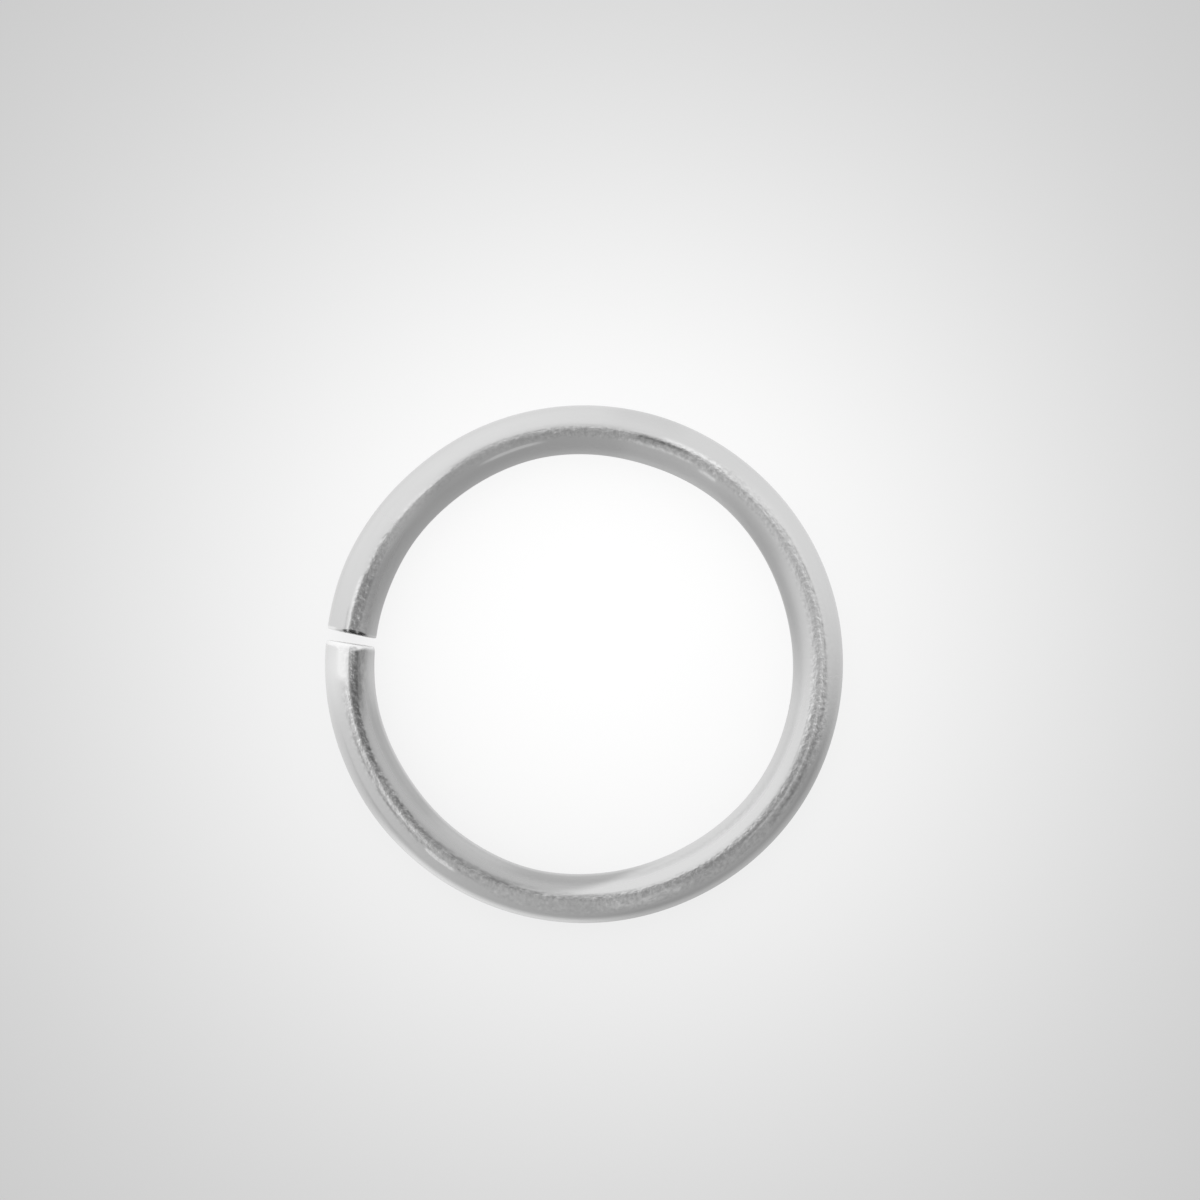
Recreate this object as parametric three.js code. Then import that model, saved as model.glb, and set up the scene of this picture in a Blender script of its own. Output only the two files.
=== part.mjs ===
import * as THREE from "three";

// Cartilage hoop: one length of round silver wire, bent into a ring and cut through on one side.
// It is opened and closed by hand, by twisting or spreading the two cut ends.
// Millimetres, +Z up. The hoop lies on its side: the loop's axis is +Z, and the origin is on the
// surface it lies on, below the middle of its outline. The cut is on the -X side.

// Driving dimensions: lengths in millimetres, angles in degrees.
const WIRE_DIAMETER = 1.2; // 16 gauge
const LOOP_INSIDE = 10.25; // clear width inside the loop: a 10 mm hoop, sprung slightly open
const GAP_WIDTH = 0.245; // between the two cut ends, at the middle of the wire
const GAP_DIRECTION = 173.7; // from the middle of the loop, turning from +X towards +Y
const TAIL = { lean: 3.6, rim: 0.1 }; // end on the -Y side: how far the cut is off square, rim radius
const TIP = { lean: 4.7, rim: 0.06 }; // end on the +Y side, which goes through the ear
const LEAN_RUN = 1.5; // length over which the sections turn from square to the lean of the cut

// Facets: SIDES is a multiple of 4, so that the wire has a flat below, above, inside and outside.
const SIDES = 20;
const STEPS = 96;
const RIM_STEPS = 2;

// Sizes that follow from them.
const WIRE_RADIUS = WIRE_DIAMETER / 2;
const LOOP_RADIUS = LOOP_INSIDE / 2 + WIRE_RADIUS;
const WIRE_LENGTH = 2 * Math.PI * LOOP_RADIUS - GAP_WIDTH;
const TAIL_TURN = THREE.MathUtils.degToRad(GAP_DIRECTION) + GAP_WIDTH / 2 / LOOP_RADIUS;

/** How far the wire's section leans off square, in radians, at a distance from the tail's cut. */
function leanAt(along) {
  const tailShare = 1 - THREE.MathUtils.smoothstep(along, 0, LEAN_RUN);
  const tipShare = 1 - THREE.MathUtils.smoothstep(WIRE_LENGTH - along, 0, LEAN_RUN);
  return -THREE.MathUtils.degToRad(tailShare * TAIL.lean + tipShare * TIP.lean);
}

/** The sections that round a cut end's rim, from the cut face inwards, as { inset, radius }. */
function rimSections(rim) {
  return Array.from({ length: RIM_STEPS }, (_, step) => {
    const angle = ((Math.PI / 2) * step) / RIM_STEPS;
    return {
      inset: rim * (1 - Math.cos(angle)),
      radius: WIRE_RADIUS - rim * (1 - Math.sin(angle)),
    };
  });
}

/** All sections of the wire from the tail's cut to the tip's, as { along, radius }. */
function wireSections() {
  const tail = rimSections(TAIL.rim).map(({ inset, radius }) => ({ along: inset, radius }));
  const tip = rimSections(TIP.rim).map(({ inset, radius }) => ({
    along: WIRE_LENGTH - inset,
    radius,
  }));
  const first = TAIL.rim;
  const last = WIRE_LENGTH - TIP.rim;
  const body = Array.from({ length: STEPS + 1 }, (_, step) => ({
    along: THREE.MathUtils.lerp(first, last, step / STEPS),
    radius: WIRE_RADIUS,
  }));
  return [...tail, ...body, ...tip.reverse()];
}

/** The centre of one section, then its corners, whose flats stand at the section's radius. */
function sectionPoints({ along, radius }) {
  const turn = TAIL_TURN + along / LOOP_RADIUS;
  const lean = leanAt(along);
  const centre = new THREE.Vector3(Math.cos(turn), Math.sin(turn), 0).multiplyScalar(LOOP_RADIUS);
  const outward = new THREE.Vector3(Math.cos(turn + lean), Math.sin(turn + lean), 0);
  const corner = radius / Math.cos(Math.PI / SIDES);
  const corners = Array.from({ length: SIDES }, (_, side) => {
    const angle = (2 * Math.PI * (side + 0.5)) / SIDES;
    return centre
      .clone()
      .addScaledVector(outward, (corner * Math.cos(angle)) / Math.cos(lean))
      .add(new THREE.Vector3(0, 0, corner * Math.sin(angle)));
  });
  return { centre, corners };
}

/** The closed surface of the wire: a strip of quads between sections, and a fan on each cut end. */
function wireGeometry() {
  const sections = wireSections().map(sectionPoints);
  const tailCentre = sections.length * SIDES;
  const tipCentre = tailCentre + 1;
  const tipStart = tailCentre - SIDES;
  const points = [
    ...sections.flatMap((section) => section.corners),
    sections[0].centre,
    sections[sections.length - 1].centre,
  ];
  const index = [];
  for (let side = 0; side < SIDES; side += 1) {
    const next = (side + 1) % SIDES;
    for (let start = 0; start < tipStart; start += SIDES) {
      const above = start + SIDES;
      index.push(start + side, above + side, above + next);
      index.push(start + side, above + next, start + next);
    }
    index.push(tailCentre, side, next);
    index.push(tipCentre, tipStart + next, tipStart + side);
  }
  return new THREE.BufferGeometry().setFromPoints(points).setIndex(index);
}

/** Lays the wire on the surface z = 0, with the middle of its outline over the origin. */
function layDown(geometry) {
  geometry.computeBoundingBox();
  const middle = geometry.boundingBox.getCenter(new THREE.Vector3());
  geometry.translate(-middle.x, -middle.y, -geometry.boundingBox.min.z);
  geometry.computeVertexNormals();
  return geometry;
}

const silver = new THREE.MeshStandardMaterial({
  name: "worn_silver",
  color: 0xc8c8c6,
  metalness: 1,
  roughness: 0.32,
});

const hoop = new THREE.Mesh(layDown(wireGeometry()), silver);
hoop.name = "hoop";

const part = new THREE.Group();
part.add(hoop);

export default part;
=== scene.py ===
import bpy
import numpy as np
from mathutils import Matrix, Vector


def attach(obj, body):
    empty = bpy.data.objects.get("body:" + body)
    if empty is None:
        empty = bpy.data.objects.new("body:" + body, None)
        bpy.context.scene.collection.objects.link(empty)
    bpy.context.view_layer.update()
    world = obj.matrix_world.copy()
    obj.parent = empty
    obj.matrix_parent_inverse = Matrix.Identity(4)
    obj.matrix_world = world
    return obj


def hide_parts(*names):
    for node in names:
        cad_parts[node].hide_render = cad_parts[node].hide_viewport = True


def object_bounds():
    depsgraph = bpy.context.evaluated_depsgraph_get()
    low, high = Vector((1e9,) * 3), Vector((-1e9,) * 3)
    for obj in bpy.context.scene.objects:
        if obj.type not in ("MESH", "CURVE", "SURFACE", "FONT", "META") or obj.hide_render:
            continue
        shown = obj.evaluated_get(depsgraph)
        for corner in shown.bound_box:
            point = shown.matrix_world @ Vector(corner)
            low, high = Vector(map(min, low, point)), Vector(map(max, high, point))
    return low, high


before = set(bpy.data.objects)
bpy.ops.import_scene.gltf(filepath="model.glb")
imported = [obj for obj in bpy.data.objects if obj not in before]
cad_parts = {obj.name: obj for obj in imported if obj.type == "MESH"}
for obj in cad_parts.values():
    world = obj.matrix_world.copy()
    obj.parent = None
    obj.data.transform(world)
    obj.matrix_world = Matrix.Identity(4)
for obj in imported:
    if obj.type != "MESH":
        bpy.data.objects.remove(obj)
cad_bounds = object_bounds()
MM = 0.001


# --- Camera ---
# The hoop lies on its side, so a camera along the loop's axis looks straight down on it. It is a
# long lens a hand's breadth away, a little towards +X and +Y of the loop's middle.

CAMERA_OFFSET = (0.3915 * MM, 1.568 * MM)
CAMERA_LENS = 100.0
VIEW_WIDTH = 29.32 * MM
WIRE_MIDDLE_HEIGHT = (cad_bounds[0].z + cad_bounds[1].z) / 2

camera_data = bpy.data.cameras.new("camera")
camera_data.lens = CAMERA_LENS
camera_data.clip_start = 1 * MM
camera_data.clip_end = 20.0
camera = bpy.data.objects.new("camera", camera_data)
camera_distance = VIEW_WIDTH * CAMERA_LENS / camera_data.sensor_width
camera.location = (*CAMERA_OFFSET, WIRE_MIDDLE_HEIGHT + camera_distance)
bpy.context.scene.collection.objects.link(camera)
bpy.context.scene.camera = camera
bpy.context.scene.view_settings.view_transform = "Standard"


# --- Floor ---
# A plain sheet of white opal acrylic, lit from the tent above. It also glows by itself, a painted
# glow that stands in for a light from below, and a painted pool of light makes it brightest under
# the lens, falling off evenly to pale grey on all sides.

FLOOR_REACH = 3.0
FLOOR_WHITE = 0.20
FLOOR_GLOW = 0.865
FAR_TONE = 0.423
POOL_RADIUS = 14.3
POOL_POWER = 2.2


class Value:
    """One socket of a node tree. Arithmetic on it adds Math nodes, and add() makes any other node."""

    def __init__(self, tree, socket=None):
        self.tree = tree
        self.socket = socket

    def add(self, kind, output=0, settings=None, inputs=None):
        """A node of this kind: its settings are set first, then its sockets' values or links."""
        node = self.tree.nodes.new(kind)
        for name, setting in (settings or {}).items():
            setattr(node, name, setting)
        for name, value in (inputs or {}).items():
            if isinstance(value, Value):
                self.tree.links.new(value.socket, node.inputs[name])
            else:
                node.inputs[name].default_value = value
        return Value(self.tree, node.outputs[output] if node.outputs else None)

    def math(self, operation, first, second):
        terms = {0: first, 1: second}
        return self.add("ShaderNodeMath", settings={"operation": operation}, inputs=terms)

    def __add__(self, other):
        return self.math("ADD", self, other)

    def __sub__(self, other):
        return self.math("SUBTRACT", self, other)

    def __rsub__(self, other):
        return self.math("SUBTRACT", other, self)

    def __mul__(self, other):
        return self.math("MULTIPLY", self, other)

    def __truediv__(self, other):
        return self.math("DIVIDE", self, other)

    def __rtruediv__(self, other):
        return self.math("DIVIDE", other, self)

    def __pow__(self, other):
        return self.math("POWER", self, other)

    def __rpow__(self, other):
        return self.math("POWER", other, self)

    __radd__ = __add__
    __rmul__ = __mul__

    def at_most(self, limit):
        return self.math("MINIMUM", self, limit)

    def between(self, low, high):
        """0 below low and 1 above high, with a smooth step between them."""
        return self.add(
            "ShaderNodeMapRange",
            settings={"interpolation_type": "SMOOTHSTEP"},
            inputs={"Value": self, "From Min": low, "From Max": high},
        )

    def axes(self):
        """The three parts of a vector, each as a value of its own."""
        return [
            self.add("ShaderNodeSeparateXYZ", output=axis, inputs={"Vector": self}) for axis in "XYZ"
        ]

    def stretched(self, x, y, z):
        """A vector with each of its parts multiplied."""
        return self.add(
            "ShaderNodeVectorMath",
            settings={"operation": "MULTIPLY"},
            inputs={0: self, 1: (x, y, z)},
        )


def empty_tree(owner):
    """The node tree of a material or world, emptied, as a Value to build from."""
    owner.use_nodes = True
    owner.node_tree.nodes.clear()
    return Value(owner.node_tree)


floor_finish = bpy.data.materials.new("opal_acrylic")
tree = empty_tree(floor_finish)
place = tree.add("ShaderNodeTexCoord", output="Object")
floor_x, floor_y, _ = place.axes()
# Painted pool of light: the floor's colour and glow fall off with distance from under the lens.
aside = (floor_x - CAMERA_OFFSET[0]) / (POOL_RADIUS * MM)
ahead = (floor_y - CAMERA_OFFSET[1]) / (POOL_RADIUS * MM)
fall = (aside * aside + ahead * ahead) ** (POOL_POWER / 2)
tone = FAR_TONE + (1 - FAR_TONE) / (1 + fall)
shader = tree.add(
    "ShaderNodeBsdfPrincipled",
    inputs={
        "Base Color": tone * FLOOR_WHITE,
        "Roughness": 0.75,
        "Specular IOR Level": 0.2,
        "Emission Color": tone,
        "Emission Strength": FLOOR_GLOW,
    },
)
tree.add("ShaderNodeOutputMaterial", inputs={"Surface": shader})

floor_mesh = bpy.data.meshes.new("floor")
floor_corners = FLOOR_REACH * np.array([(-1, -1, 0), (1, -1, 0), (1, 1, 0), (-1, 1, 0)])
floor_mesh.from_pydata(floor_corners.tolist(), [], [(0, 1, 2, 3)])
floor_mesh.materials.append(floor_finish)
floor = bpy.data.objects.new("floor", floor_mesh)
bpy.context.scene.collection.objects.link(floor)
floor.visible_glossy = False


# --- Light ---
# A white light tent with its lamp behind the side towards -X and +Y. A white card stands towards
# +X and a black flag beside it, white paper lies below, and the lens looks in through a dark
# hole overhead.

TENT_TONE = 0.711
LAMP = {"side": np.radians(124.0), "swing": 0.297}
CARD = {"side": np.radians(14.7), "tightness": 4.0, "tone": 0.275}
FLAG = {"side": np.radians(337.5), "tightness": 22.0, "tone": -0.18}
PAPER = {"side": np.radians(200.0), "tone": 0.85, "share": 0.35, "swing": 0.16}
PAPER_FADE = (-0.6, -0.1)
LAMP_LEAN = (-0.05, 0.245)
OVERHEAD_FADE = (0.85, 1.0)
BLEND_WIDTH = 0.08
HOLE_PLACE = (0.13, -0.17)
HOLE_WIDTH = 0.16
HOLE_DEPTH = 0.13

world = bpy.data.worlds.new("tent")
bpy.context.scene.world = world
tree = empty_tree(world)
aside, ahead, upward = tree.add("ShaderNodeTexCoord", output="Generated").axes()
hole_aside = aside - HOLE_PLACE[0]
hole_ahead = ahead - HOLE_PLACE[1]
hole = np.e ** ((hole_aside * hole_aside + hole_ahead * hole_ahead) / -(HOLE_WIDTH**2))
overhead = upward.between(*OVERHEAD_FADE)
aside = aside - LAMP_LEAN[0] * overhead
ahead = ahead - LAMP_LEAN[1] * overhead
reach = (aside * aside + ahead * ahead + BLEND_WIDTH**2) ** 0.5


def towards(side):
    """How far a direction turns to a side of the tent: 1 on that side, -1 opposite."""
    return (aside * np.cos(side) + ahead * np.sin(side)) / reach


brightness = TENT_TONE - HOLE_DEPTH * hole + LAMP["swing"] * towards(LAMP["side"])
for panel in (CARD, FLAG):
    spread = np.e ** ((towards(panel["side"]) - 1) * panel["tightness"])
    brightness = brightness + panel["tone"] * spread
paper = PAPER["share"] + PAPER["swing"] * towards(PAPER["side"])
paper = paper * (1 - upward.between(*PAPER_FADE))
brightness = brightness + paper * (PAPER["tone"] - brightness)
tent = tree.add("ShaderNodeBackground", inputs={"Color": (1, 1, 1, 1), "Strength": brightness})
tree.add("ShaderNodeOutputWorld", inputs={"Surface": tent})


# --- The wire ---
# One length of 1.2 mm silver wire, drawn through a die, bent round a former and cut to length
# with two snips that are not quite square. Pliers closed it and pressed a small flat at the tip.

WIRE_RADIUS = (cad_bounds[1].z - cad_bounds[0].z) / 2 / MM
LOOP_RADIUS = (cad_bounds[1].x - cad_bounds[0].x) / 2 / MM - WIRE_RADIUS
GAP_WIDTH = 0.245
GAP_DIRECTION = np.radians(173.7)
WIRE_LENGTH = 2 * np.pi * LOOP_RADIUS - GAP_WIDTH
TAIL_TURN = GAP_DIRECTION + GAP_WIDTH / 2 / LOOP_RADIUS
TAIL_LEAN = np.radians(3.6)
TIP_LEAN = np.radians(4.7)
LEAN_RUN = 1.5
TAIL_RIM = {"length": 0.15, "depth": 0.06, "start": np.radians(24.0)}
TIP_RIM = {"length": 0.05, "depth": 0.05, "start": 0.0}
TIP_BEVEL = {"depth": 0.13, "slope": 0.65, "run": 0.3}
TIP_FLAT = {"length": 1.56, "towards": np.radians(100.5), "depth": 0.010, "ramp": 0.05}
TIP_FLAT_FACING = 0.5
INSIDE_SET_BACK = 0.006

SIDES = 96
BODY_RINGS = {"tail": 57, "middle": 770, "tip": 98}
TAIL_FINE = 1.3
TIP_FINE = 2.0
FACE_SHARES = np.array([0.3, 0.6, 0.8, 0.87, 0.94])
RIM_SHARES = np.array([0, 0.02, 0.12, 0.25, 0.4, 0.55, 0.7, 0.85])


def smooth(value, low, high):
    """0 below low and 1 above high, with a smooth step between them."""
    share = np.clip((value - low) / (high - low), 0, 1)
    return share * share * (3 - 2 * share)


def end_rings(rim):
    """Rings of one cut end, from its face out: how far back from the cut each is, and its radius.
    The face is flat at the cut, and its rim is part of an ellipse that ends along the wire."""
    angles = rim["start"] + (np.pi / 2 - rim["start"]) * RIM_SHARES
    rim_back = rim["length"] * (1 - np.cos(angles) / np.cos(rim["start"]))
    rim_radius = WIRE_RADIUS - rim["depth"] * (1 - np.sin(angles))
    back = np.concatenate([0 * FACE_SHARES, rim_back])
    radius = np.concatenate([FACE_SHARES * rim_radius[0], rim_radius])
    return back, radius


def wire_rings():
    """Length from the tail's cut and radius of every ring of the wire, closer together at the ends."""
    tail_back, tail_radius = end_rings(TAIL_RIM)
    tip_back, tip_radius = end_rings(TIP_RIM)
    bounds = [TAIL_RIM["length"], TAIL_FINE, WIRE_LENGTH - TIP_FINE, WIRE_LENGTH - TIP_RIM["length"]]
    counts = BODY_RINGS.values()
    body = [
        np.linspace(start, end, count, endpoint=False)
        for start, end, count in zip(bounds, bounds[1:], counts)
    ]
    body = np.concatenate([*body, bounds[-1:]])
    along = np.concatenate([tail_back, body, WIRE_LENGTH - tip_back[::-1]])
    radius = np.concatenate([tail_radius, np.full(len(body), WIRE_RADIUS), tip_radius[::-1]])
    return along, radius


def bend(along, outward, up):
    """Millimetres of the straight wire to metres of the hoop: the length becomes an angle round
    the loop, and the section leans with the cut close to each end."""
    turn = TAIL_TURN + along / LOOP_RADIUS
    tail = 1 - smooth(along, 0, LEAN_RUN)
    tip = smooth(along, WIRE_LENGTH - LEAN_RUN, WIRE_LENGTH)
    lean = -(tail * TAIL_LEAN + tip * TIP_LEAN)
    reach = outward / np.cos(lean)
    x = LOOP_RADIUS * np.cos(turn) + reach * np.cos(turn + lean)
    y = LOOP_RADIUS * np.sin(turn) + reach * np.sin(turn + lean)
    return np.stack([x, y, WIRE_RADIUS + up], axis=-1) * MM


# Slow unevenness from bending by hand: how far the inside and the outside of the wire stand
# outwards of the true circle at a length along it, and the angle by which its top is twisted.
UNEVEN = [
    {"at": 0.4, "length": 1.2, "inside": 0.0, "outside": 0.0, "twist": 0.14},
    {"at": 1.6, "length": 1.0, "inside": 0.014, "outside": 0.007, "twist": 0.0},
    {"at": 4.0, "length": 1.3, "inside": -0.025, "outside": 0.012, "twist": 0.02},
    {"at": 8.0, "length": 1.4, "inside": 0.036, "outside": 0.0, "twist": 0.10},
    {"at": 9.1, "length": 0.8, "inside": 0.0, "outside": 0.0, "twist": 0.05},
    {"at": 12.0, "length": 1.5, "inside": -0.022, "outside": -0.010, "twist": 0.01},
    {"at": 15.3, "length": 1.4, "inside": 0.022, "outside": 0.007, "twist": 0.0},
    {"at": 19.9, "length": 1.5, "inside": -0.027, "outside": 0.006, "twist": 0.0},
    {"at": 23.3, "length": 1.2, "inside": 0.022, "outside": -0.009, "twist": 0.07},
    {"at": 25.8, "length": 1.0, "inside": -0.017, "outside": 0.004, "twist": 0.0},
    {"at": 28.7, "length": 1.3, "inside": 0.027, "outside": 0.0, "twist": 0.01},
    {"at": 30.0, "length": 0.7, "inside": 0.0, "outside": 0.0, "twist": -0.04},
    {"at": 31.5, "length": 1.0, "inside": -0.010, "outside": -0.015, "twist": 0.0},
    {"at": 32.0, "length": 0.8, "inside": 0.0, "outside": 0.0, "twist": 0.31},
    {"at": 34.2, "length": 1.0, "inside": -0.016, "outside": 0.018, "twist": 0.09},
]
TWIST_SPREAD = 0.35

ring_along, ring_radius = wire_rings()
side_angle = np.arange(SIDES) * 2 * np.pi / SIDES
along = np.repeat(ring_along[:, None], SIDES, axis=1)
angle = np.repeat(side_angle[None, :], len(ring_along), axis=0)
radius = np.repeat(ring_radius[:, None], SIDES, axis=1)

from_top = angle - np.pi / 2
hump = from_top * np.exp(-(from_top**2) / (2 * TWIST_SPREAD**2))
outer_share = (1 + np.cos(angle)) / 2
shift = -INSIDE_SET_BACK * (1 - outer_share)
for bend_place in UNEVEN:
    share = np.exp(-(((along - bend_place["at"]) / bend_place["length"]) ** 2))
    radius = radius * (1 + bend_place["twist"] * share * hump)
    outwards = bend_place["inside"] * (1 - outer_share) + bend_place["outside"] * outer_share
    shift = shift + share * outwards

# The plier's flat at the tip: a plane that cuts the top of the round by its depth. It only
# reaches the sides that face the plane.
flat_start = WIRE_LENGTH - TIP_FLAT["length"]
pressed = smooth(along, flat_start, flat_start + TIP_FLAT["ramp"])
facing = np.cos(angle - TIP_FLAT["towards"])
plane = (WIRE_RADIUS - TIP_FLAT["depth"] * pressed) / np.maximum(facing, TIP_FLAT_FACING)
radius = np.where(facing > TIP_FLAT_FACING, np.minimum(radius, plane), radius)

# The snip broke the tip's upper edge away in a small bevel: the last rings are pushed back there,
# by its slope times how far they stand above its lower edge.
above = np.maximum(radius * facing - (WIRE_RADIUS - TIP_BEVEL["depth"]), 0)
close_to_tip = np.clip((along - (WIRE_LENGTH - TIP_BEVEL["run"])) / TIP_BEVEL["run"], 0, 1)
along = along - TIP_BEVEL["slope"] * above * close_to_tip

straight = np.stack([along, radius * np.cos(angle), radius * np.sin(angle)], axis=-1).reshape(-1, 3)
poles = np.array([[0.0, 0.0, 0.0], [WIRE_LENGTH, 0.0, 0.0]])
straight = np.concatenate([straight, poles])
shift = np.concatenate([shift.ravel(), np.zeros(2)])
points = bend(straight[:, 0], straight[:, 1] + shift, straight[:, 2])

# Faces: quads between rings, and a fan of triangles from the middle of each cut face.
ring_count = len(ring_along)
ring = np.arange(ring_count - 1)[:, None] * SIDES
side = np.arange(SIDES)[None, :]
beside = (side + 1) % SIDES
quads = np.stack([ring + side, ring + SIDES + side, ring + SIDES + beside, ring + beside], axis=-1)
side, beside = side[0], beside[0]
last_ring = (ring_count - 1) * SIDES
tail_pole = ring_count * SIDES
tail_fan = np.stack([np.full(SIDES, tail_pole), side, beside], axis=-1)
tip_fan = np.stack([np.full(SIDES, tail_pole + 1), last_ring + beside, last_ring + side], axis=-1)

hoop_mesh = bpy.data.meshes.new("silver_hoop")
faces = quads.reshape(-1, 4).tolist() + tail_fan.tolist() + tip_fan.tolist()
hoop_mesh.from_pydata(points.tolist(), [], faces)
hoop_mesh.polygons.foreach_set("use_smooth", np.ones(len(faces), bool))
straight_place = hoop_mesh.attributes.new("straight_wire", "FLOAT_VECTOR", "POINT")
straight_place.data.foreach_set("vector", straight.astype(np.float32).ravel())
hoop_mesh.update()

hoop = bpy.data.objects.new("silver_hoop", hoop_mesh)
bpy.context.scene.collection.objects.link(hoop)

SILVER = 0.72
TOP_FADE = (0.0, 0.2)
# The silver's colour carries painted shade and painted highlights besides its wear.
finish = bpy.data.materials.new("worn_silver")
tree = empty_tree(finish)
place = tree.add("ShaderNodeAttribute", output="Vector", settings={"attribute_name": "straight_wire"})
along, outward, up = place.axes()
across = outward / WIRE_RADIUS
on_top = up.between(*TOP_FADE)


def noise(scales, detail=2.0, seed=0.0):
    """Noise in the straight wire's place, with its own scale along the wire and across it."""
    vector = place.stretched(scales[0], scales[1], scales[1])
    return tree.add(
        "ShaderNodeTexNoise",
        settings={"noise_dimensions": "4D"},
        inputs={"Vector": vector, "W": seed, "Scale": 1.0, "Detail": detail},
    )


def stretch_of(part):
    """1 on the stretch of wire that a row gives, with a smooth ramp as long as its fade inside
    both ends."""
    start = along.between(part["from"], part["from"] + part["fade"])
    end = along.between(part["to"] - part["fade"], part["to"])
    return start * (1 - end)


def line(place_across, width):
    """1 on a lengthwise line on top of the wire, falling off as a bell to both sides."""
    off = (across - place_across) / width
    return np.e ** (off * off * -1) * on_top


# Painted shade darkens the inner side of the wire's first third, and is thin on the
# innermost side. Its edge is near the top of the wire, wavers a little, and draws back to the
# inside where the shade ends.
INNER_SHADE = {"painted_shade": 0.31, "from": 0.6, "to": 12.6, "fade": 1.6}
INNER_SHADE_EDGE = {"across": -0.22, "softness": 0.18, "waver": 0.12}
INNER_SHADE_DRAWN_BACK = {"by": 0.78, "along": (8.1, 11.8)}
INNERMOST_SHADE = {"share": 0.3, "across": (-1.0, -0.9)}
waver = INNER_SHADE_EDGE["waver"] * (noise(scales=(0.8, 3.0), seed=4.0) - 0.5)
drawn_back = INNER_SHADE_DRAWN_BACK["by"] * along.between(*INNER_SHADE_DRAWN_BACK["along"])
inner_shade_edge = INNER_SHADE_EDGE["across"] - drawn_back + waver
inside_edge = 1 - (across - inner_shade_edge).between(-INNER_SHADE_EDGE["softness"], INNER_SHADE_EDGE["softness"])
inner_shade = INNER_SHADE["painted_shade"] * inside_edge * stretch_of(INNER_SHADE)
innermost = INNERMOST_SHADE["share"]
inner_shade = inner_shade * (innermost + (1 - innermost) * across.between(*INNERMOST_SHADE["across"]))
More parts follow.
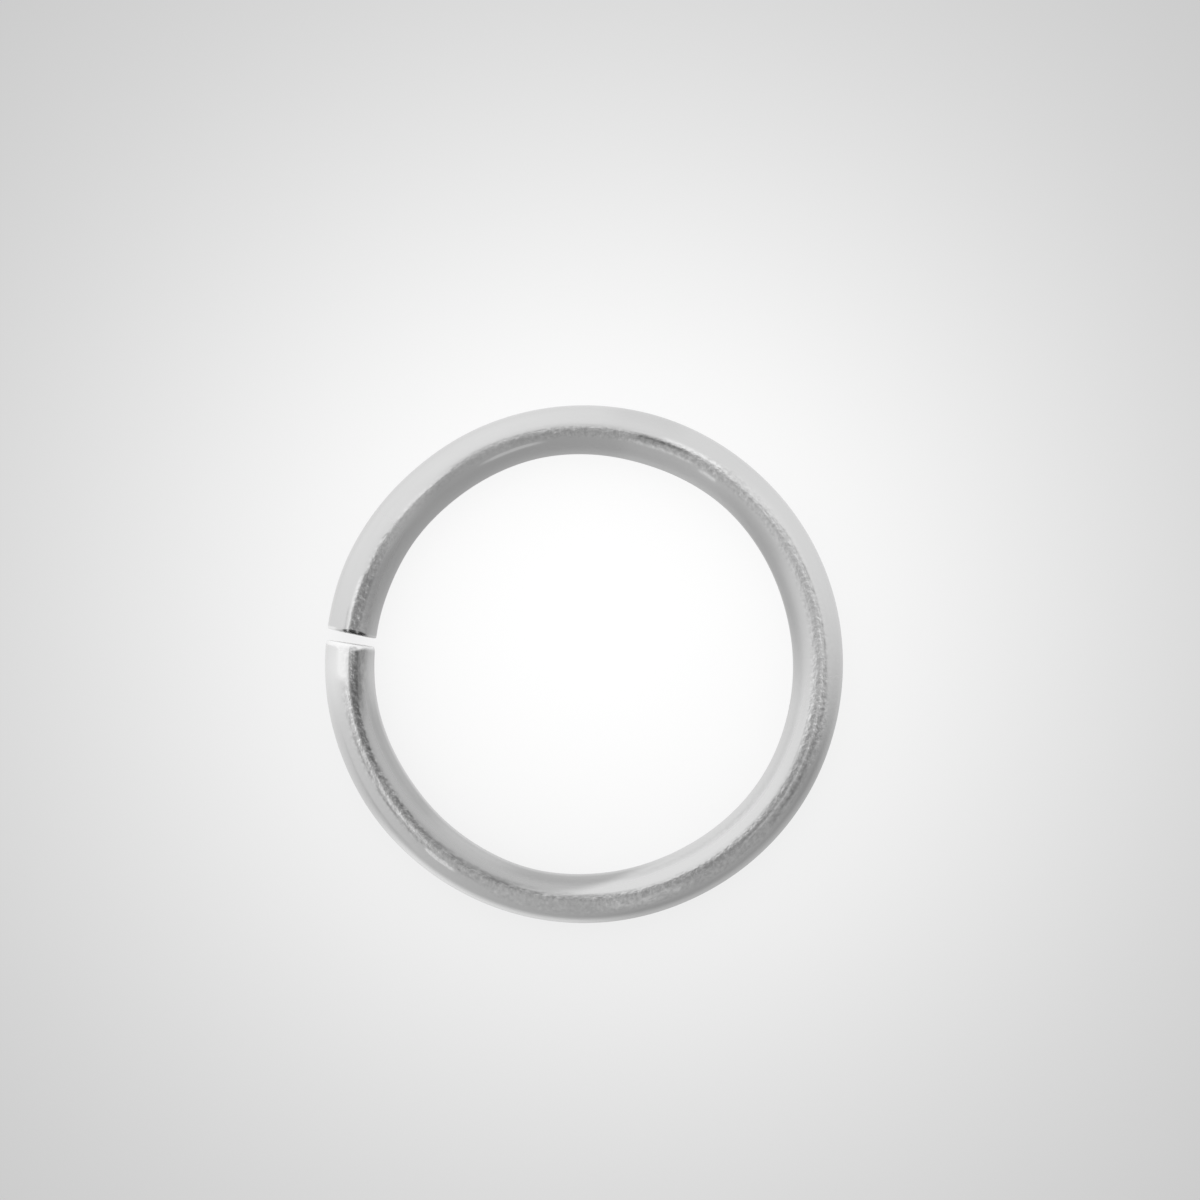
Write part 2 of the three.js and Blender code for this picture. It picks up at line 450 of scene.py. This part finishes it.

# Marks on the top of the wire, most of them painted shade or painted highlights. Each is a line:
# where it starts and ends along the wire and how long it fades in and out, where it lies across
# the wire (-1 inside, 1 outside) and how far it drifts outwards each millimetre, its width, how
# much painted shade and painted highlight it adds, its height, and how far speckles break it up.
MARKS = [
    # painted shade along a groove line, which has hardly any relief: wide at the tail, then narrow and
    # deep, then faint
    {"from": -1.0, "to": 2.2, "fade": 1.2, "across": -0.565, "drift": 0.10, "width": 0.28,
     "painted_shade": 0.56, "painted_highlight": 0.0, "height": 0.0, "speckle": 0.2},
    {"from": 0.2, "to": 3.4, "fade": 1.0, "across": -0.24, "drift": 0.03, "width": 0.09,
     "painted_shade": 0.34, "painted_highlight": 0.0, "height": -0.001, "speckle": 0.5},
    {"from": 0.8, "to": 8.3, "fade": 1.2, "across": -0.18, "drift": 0.0, "width": 0.14,
     "painted_shade": 0.33, "painted_highlight": 0.0, "height": 0.0, "speckle": 0.3},
    {"from": 6.8, "to": 10.6, "fade": 1.0, "across": -0.14, "drift": 0.0, "width": 0.065,
     "painted_shade": 0.32, "painted_highlight": 0.0, "height": 0.0, "speckle": 0.4},
    # painted highlight on the groove's outer lip, and painted shade in a hollow outside it
    {"from": 0.2, "to": 6.0, "fade": 1.0, "across": 0.055, "drift": 0.0, "width": 0.065,
     "painted_shade": 0.0, "painted_highlight": 1.1, "height": 0.0, "speckle": 0.8},
    {"from": 1.2, "to": 7.8, "fade": 1.5, "across": 0.19, "drift": 0.0, "width": 0.065,
     "painted_shade": 0.18, "painted_highlight": 0.0, "height": 0.0, "speckle": 0.8},
    # painted highlight on a flat spot at the tail, and painted sheen outside and inside it
    {"from": -0.5, "to": 1.0, "fade": 0.35, "across": 0.15, "drift": 0.0, "width": 0.27,
     "painted_shade": 0.0, "painted_highlight": 1.35, "height": 0.0, "speckle": 0.0},
    {"from": -1.0, "to": 2.2, "fade": 1.8, "across": 0.70, "drift": 0.0, "width": 0.50,
     "painted_shade": 0.0, "painted_highlight": 0.55, "height": 0.0, "speckle": 0.0},
    # painted shade in a crease beyond the top of the loop, between painted highlights on its two lips
    {"from": 24.65, "to": 26.4, "fade": 0.35, "across": 0.005, "drift": -0.01, "width": 0.075,
     "painted_shade": 0.54, "painted_highlight": 0.0, "height": 0.0, "speckle": 0.2},
    {"from": 25.3, "to": 26.55, "fade": 0.40, "across": -0.10, "drift": -0.03, "width": 0.06,
     "painted_shade": 0.22, "painted_highlight": 0.0, "height": 0.0, "speckle": 0.2},
    {"from": 26.1, "to": 29.8, "fade": 0.9, "across": -0.08, "drift": 0.0, "width": 0.26,
     "painted_shade": 0.13, "painted_highlight": 0.0, "height": 0.0, "speckle": 0.2},
    {"from": 24.3, "to": 26.5, "fade": 0.5, "across": -0.29, "drift": 0.0, "width": 0.06,
     "painted_shade": 0.0, "painted_highlight": 0.55, "height": 0.0, "speckle": 0.3},
    {"from": 23.6, "to": 25.8, "fade": 0.6, "across": 0.15, "drift": 0.0, "width": 0.08,
     "painted_shade": 0.0, "painted_highlight": 0.8, "height": 0.0, "speckle": 0.2},
    # painted shade in two hollows from the die, and a painted highlight on the ridge between them
    {"from": 11.0, "to": 16.5, "fade": 1.5, "across": 0.03, "drift": 0.0, "width": 0.07,
     "painted_shade": 0.09, "painted_highlight": 0.0, "height": 0.0, "speckle": 0.5},
    {"from": 13.4, "to": 19.4, "fade": 2.2, "across": 0.38, "drift": -0.030, "width": 0.09,
     "painted_shade": 0.29, "painted_highlight": 0.0, "height": 0.0, "speckle": 0.4},
    {"from": 17.6, "to": 23.0, "fade": 1.4, "across": 0.26, "drift": -0.010, "width": 0.045,
     "painted_shade": 0.25, "painted_highlight": 0.0, "height": 0.0, "speckle": 0.5},
    {"from": 13.3, "to": 20.0, "fade": 1.2, "across": 0.14, "drift": -0.010, "width": 0.05,
     "painted_shade": 0.0, "painted_highlight": 0.9, "height": 0.001, "speckle": 0.4},
    # faint painted shade along a line on the outer side
    {"from": 2.5, "to": 17.5, "fade": 1.5, "across": 0.68, "drift": 0.0, "width": 0.07,
     "painted_shade": 0.07, "painted_highlight": 0.0, "height": 0.0, "speckle": 0.2},
    {"from": 1.8, "to": 5.4, "fade": 1.0, "across": 0.63, "drift": 0.0, "width": 0.05,
     "painted_shade": 0.10, "painted_highlight": 0.0, "height": 0.0, "speckle": 0.2},
    # painted highlights and sheen: the top opposite the ends, the outer rim, the top on both sides of
    # where the plier's flat starts, and two smaller ones on the tail's half
    {"from": 15.8, "to": 24.2, "fade": 1.8, "across": 0.04, "drift": 0.0, "width": 0.32,
     "painted_shade": 0.0, "painted_highlight": 0.36, "height": 0.0, "speckle": 0.0},
    {"from": 3.6, "to": 11.0, "fade": 2.0, "across": 0.92, "drift": 0.0, "width": 0.19,
     "painted_shade": 0.0, "painted_highlight": 0.95, "height": 0.0, "speckle": 0.0},
    {"from": 31.4, "to": 34.2, "fade": 1.0, "across": -0.22, "drift": 0.0, "width": 0.24,
     "painted_shade": 0.0, "painted_highlight": 0.50, "height": 0.0, "speckle": 0.0},
    {"from": 30.7, "to": 33.0, "fade": 1.0, "across": -0.09, "drift": 0.0, "width": 0.08,
     "painted_shade": 0.0, "painted_highlight": 0.40, "height": 0.0, "speckle": 0.2},
    {"from": 9.5, "to": 12.4, "fade": 0.9, "across": 0.24, "drift": 0.0, "width": 0.20,
     "painted_shade": 0.0, "painted_highlight": 0.5, "height": 0.0, "speckle": 0.7},
    {"from": 4.4, "to": 8.2, "fade": 1.4, "across": -0.80, "drift": 0.0, "width": 0.20,
     "painted_shade": 0.0, "painted_highlight": 0.4, "height": 0.0, "speckle": 0.0},
    # painted shade on the inside, from opposite the tail to the tip, and on the outside beside the
    # crease
    {"from": 17.2, "to": 24.6, "fade": 3.0, "across": -0.92, "drift": 0.0, "width": 0.34,
     "painted_shade": 0.24, "painted_highlight": 0.0, "height": 0.0, "speckle": 0.0},
    {"from": 20.6, "to": 24.2, "fade": 1.2, "across": -0.50, "drift": 0.0, "width": 0.22,
     "painted_shade": 0.11, "painted_highlight": 0.0, "height": 0.0, "speckle": 0.0},
    {"from": 34.0, "to": 38.0, "fade": 1.6, "across": -0.56, "drift": 0.0, "width": 0.19,
     "painted_shade": 0.18, "painted_highlight": 0.0, "height": 0.0, "speckle": 0.2},
    {"from": 26.0, "to": 38.0, "fade": 0.8, "across": -0.80, "drift": 0.0, "width": 0.50,
     "painted_shade": 0.09, "painted_highlight": 0.0, "height": 0.0, "speckle": 0.0},
    {"from": 24.8, "to": 27.2, "fade": 0.8, "across": 0.85, "drift": 0.0, "width": 0.50,
     "painted_shade": 0.07, "painted_highlight": 0.0, "height": 0.0, "speckle": 0.0},
    # scratch on the inner slope: a slight hollow with a painted highlight
    {"from": 28.3, "to": 30.4, "fade": 0.7, "across": -0.40, "drift": -0.020, "width": 0.055,
     "painted_shade": 0.0, "painted_highlight": 1.3, "height": -0.002, "speckle": 0.2},
    # small nicks: painted glints, three of them slightly raised
    {"from": 23.85, "to": 24.5, "fade": 0.15, "across": -0.42, "drift": 0.06, "width": 0.07,
     "painted_shade": 0.0, "painted_highlight": 1.1, "height": 0.002, "speckle": 0.4},
    {"from": 5.35, "to": 6.35, "fade": 0.25, "across": 0.275, "drift": 0.0, "width": 0.07,
     "painted_shade": 0.0, "painted_highlight": 1.7, "height": 0.0, "speckle": 0.9},
    {"from": 10.85, "to": 11.15, "fade": 0.1, "across": 0.27, "drift": 0.0, "width": 0.05,
     "painted_shade": 0.0, "painted_highlight": 1.0, "height": 0.002, "speckle": 0.2},
    {"from": 11.6, "to": 11.9, "fade": 0.1, "across": 0.32, "drift": 0.0, "width": 0.05,
     "painted_shade": 0.0, "painted_highlight": 0.8, "height": 0.002, "speckle": 0.2},
    # painted shade on the plier's flat, a painted highlight on the lip beside it, and a faint painted
    # dark line beyond the lip
    {"from": 34.15, "to": 36.8, "fade": 0.15, "across": -0.13, "drift": 0.0, "width": 0.22,
     "painted_shade": 0.14, "painted_highlight": 0.0, "height": 0.0, "speckle": 0.6},
    {"from": 34.2, "to": 36.2, "fade": 0.3, "across": 0.12, "drift": 0.0, "width": 0.07,
     "painted_shade": 0.0, "painted_highlight": 0.75, "height": 0.0, "speckle": 0.2},
    {"from": 34.9, "to": 36.2, "fade": 0.5, "across": 0.23, "drift": 0.0, "width": 0.05,
     "painted_shade": 0.12, "painted_highlight": 0.0, "height": 0.0, "speckle": 0.5},
]

SPECKLE_RANGE = (0.35, 0.65)
speckle = noise(scales=(4.5, 12.0), detail=3.0, seed=7.0).between(*SPECKLE_RANGE)
# Painted shade starts from the inner side's shade, and the marks add painted shade, painted highlights
# and height.
painted_shade = inner_shade
painted_highlight = 0.0
marks_height = 0.0
for mark in MARKS:
    middle = mark["across"] + (along - mark["from"]) * mark["drift"]
    shape = line(middle, mark["width"]) * stretch_of(mark)
    if mark["speckle"]:
        shape = shape * (1 - mark["speckle"] + 2 * mark["speckle"] * speckle)
    if mark["painted_shade"]:
        painted_shade = painted_shade + mark["painted_shade"] * shape
    if mark["painted_highlight"]:
        painted_highlight = painted_highlight + mark["painted_highlight"] * shape
    if mark["height"]:
        marks_height = marks_height + mark["height"] * shape

# The tail's rim is filed, and a painted highlight makes it white, widest on top of the wire and less
# white below.
DARKEST = 0.60
RIM_HIGHLIGHT_WIDTH = {"inside": 0.02, "top": 0.13, "outside": 0.04}
RIM_HIGHLIGHT_WIDENS = (-0.70, -0.10)
RIM_HIGHLIGHT_NARROWS = (0.25, 0.60)
RIM_HIGHLIGHT_FADE = 0.09
RIM_HIGHLIGHT_BELOW = 0.4
wider = (RIM_HIGHLIGHT_WIDTH["top"] - RIM_HIGHLIGHT_WIDTH["inside"]) * across.between(*RIM_HIGHLIGHT_WIDENS)
narrower = (RIM_HIGHLIGHT_WIDTH["top"] - RIM_HIGHLIGHT_WIDTH["outside"]) * across.between(*RIM_HIGHLIGHT_NARROWS)
rim_highlight_width = RIM_HIGHLIGHT_WIDTH["inside"] + wider - narrower
filed_rim_highlight = 1 - (along - rim_highlight_width).between(0.0, RIM_HIGHLIGHT_FADE)
painted_shade = painted_shade.at_most(DARKEST) * (1 - filed_rim_highlight)
painted_highlight = painted_highlight + filed_rim_highlight * (RIM_HIGHLIGHT_BELOW + (1 - RIM_HIGHLIGHT_BELOW) * on_top)

# Painted shade makes the tip's bevel nearly black but for two unshaded specks, and a painted
# highlight brightens its edge on both sides of the bevel.
BEVEL_SHADE = {"painted_shade": 0.86, "along_fade": (-0.04, -0.015), "height_fade": (0.03, 0.06)}
UNSHADED_SPECKS = [
    {"across": 0.11, "width": 0.035, "unshaded": 1.0},
    {"across": -0.27, "width": 0.06, "unshaded": 0.9},
]
TIP_EDGE_HIGHLIGHT = {"painted_highlight": 0.9, "along": (WIRE_LENGTH - 0.10, WIRE_LENGTH - 0.03), "off_top": (0.2, 0.5)}
above = outward * np.cos(TIP_FLAT["towards"]) + up * np.sin(TIP_FLAT["towards"])
above = above - (WIRE_RADIUS - TIP_BEVEL["depth"])
bevel_shade = (along - WIRE_LENGTH + above * TIP_BEVEL["slope"]).between(*BEVEL_SHADE["along_fade"])
bevel_shade = bevel_shade * above.between(*BEVEL_SHADE["height_fade"])
for speck in UNSHADED_SPECKS:
    bevel_shade = bevel_shade * (1 - speck["unshaded"] * line(speck["across"], speck["width"]))
painted_shade = painted_shade + bevel_shade * (BEVEL_SHADE["painted_shade"] - painted_shade)
tip_edge_highlight = along.between(*TIP_EDGE_HIGHLIGHT["along"]) * (across * across).between(*TIP_EDGE_HIGHLIGHT["off_top"])
painted_highlight = painted_highlight + TIP_EDGE_HIGHLIGHT["painted_highlight"] * tip_edge_highlight

# The strip on top of the wire is pitted all round, but less at three rubbed stretches and hardly
# on the tail's flat spot. The sides are nearly smooth.
STRIP_INSIDE = {"across": -0.33, "softness": 0.07}
STRIP_OUTSIDE = {"across": 0.30, "softness": 0.11}
INSIDE_NARROWER = {"by": 0.18, "from": 4.0, "to": 18.0, "fade": 2.0}
OUTSIDE_WIDER = {"by": 0.24, "from": 6.5, "to": 18.5, "fade": 1.5}
OUTSIDE_NARROWER = {"by": 0.22, "along": (23.5, 26.0)}
RUBBED = [
    {"from": 4.0, "to": 10.5, "fade": 1.5, "share": 0.25},
    {"from": 17.5, "to": 24.5, "fade": 2.0, "share": 0.35},
    {"from": 28.0, "to": 34.0, "fade": 1.2, "share": 0.45},
]
FLAT_SPOT = {"rubbed": 0.8, "across": (-0.10, 0.0), "along": (0.8, 1.4)}
strip_inside = STRIP_INSIDE["across"] + INSIDE_NARROWER["by"] * stretch_of(INSIDE_NARROWER)
strip_outside = STRIP_OUTSIDE["across"] + OUTSIDE_WIDER["by"] * stretch_of(OUTSIDE_WIDER)
outside_narrower = OUTSIDE_NARROWER["by"] * along.between(*OUTSIDE_NARROWER["along"])
strip_outside = strip_outside - outside_narrower
strip = (across - strip_inside).between(-STRIP_INSIDE["softness"], STRIP_INSIDE["softness"])
past = (across - strip_outside).between(-STRIP_OUTSIDE["softness"], STRIP_OUTSIDE["softness"])
strip = strip * (1 - past)
rubbed = 0.0
for part in RUBBED:
    rubbed = rubbed + part["share"] * stretch_of(part)
strip = strip * on_top * (1 - rubbed)
flat_spot = across.between(*FLAT_SPOT["across"]) * (1 - along.between(*FLAT_SPOT["along"]))
strip = strip * (1 - FLAT_SPOT["rubbed"] * flat_spot)

# Tone: painted shade darkens the silver and painted highlights lighten it. The pits are darker or
# lighter than the silver, more so where shade is painted, and long faint streaks run along the wire.
PIT_CONTRAST = 0.70
PIT_CONTRAST_IN_SHADE = 0.9
STREAKS = 0.05
pits = noise(scales=(10.0, 12.0), seed=5.0) - 0.5
tone = SILVER * (1 - painted_shade) + (1 - SILVER) * painted_highlight.at_most(1.0)
tone = tone * (1 + (PIT_CONTRAST + PIT_CONTRAST_IN_SHADE * painted_shade) * pits * strip)
tone = tone + STREAKS * (noise(scales=(0.4, 4.5), seed=1.0) - 0.5)

# Relief, in millimetres: lines drawn by the die, and a fine grain that is deeper in the strip.
DRAWN_DEPTH = 0.006
GRAIN_DEPTH = {"sides": 0.004, "strip": 0.016}
drawn = noise(scales=(0.4, 10.0), seed=2.0)
grain = noise(scales=(9.0, 11.0), seed=3.0)
grain_depth = GRAIN_DEPTH["sides"] + (GRAIN_DEPTH["strip"] - GRAIN_DEPTH["sides"]) * strip
relief = drawn * DRAWN_DEPTH + (grain - 0.5) * grain_depth + marks_height
bump = tree.add("ShaderNodeBump", inputs={"Height": relief, "Distance": MM, "Strength": 1.0})

# Two stretches are duller than the rest, and so are the inner side and the filed rim.
ROUGHNESS = 0.16
DULLER = [
    {"by": 0.08, "starts": (3.0, 6.0), "ends": (10.0, 12.0)},
    {"by": 0.12, "starts": (16.5, 18.5), "ends": (32.6, 34.0)},
]
DULL_INSIDE = {"by": 0.20, "across": (-0.75, -0.45)}
DULL_FILED = 0.22
roughness = ROUGHNESS
for part in DULLER:
    stretch = along.between(*part["starts"]) - along.between(*part["ends"])
    roughness = roughness + part["by"] * stretch
inner_side = DULL_INSIDE["by"] * (1 - across.between(*DULL_INSIDE["across"]))
roughness = roughness + inner_side + DULL_FILED * filed_rim_highlight

shader = tree.add(
    "ShaderNodeBsdfPrincipled",
    inputs={
        "Base Color": tone,
        "Metallic": 1.0,
        "Roughness": roughness,
        "Normal": bump,
    },
)
tree.add("ShaderNodeOutputMaterial", inputs={"Surface": shader})
hoop_mesh.materials.append(finish)

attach(hoop, "root")
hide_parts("hoop")
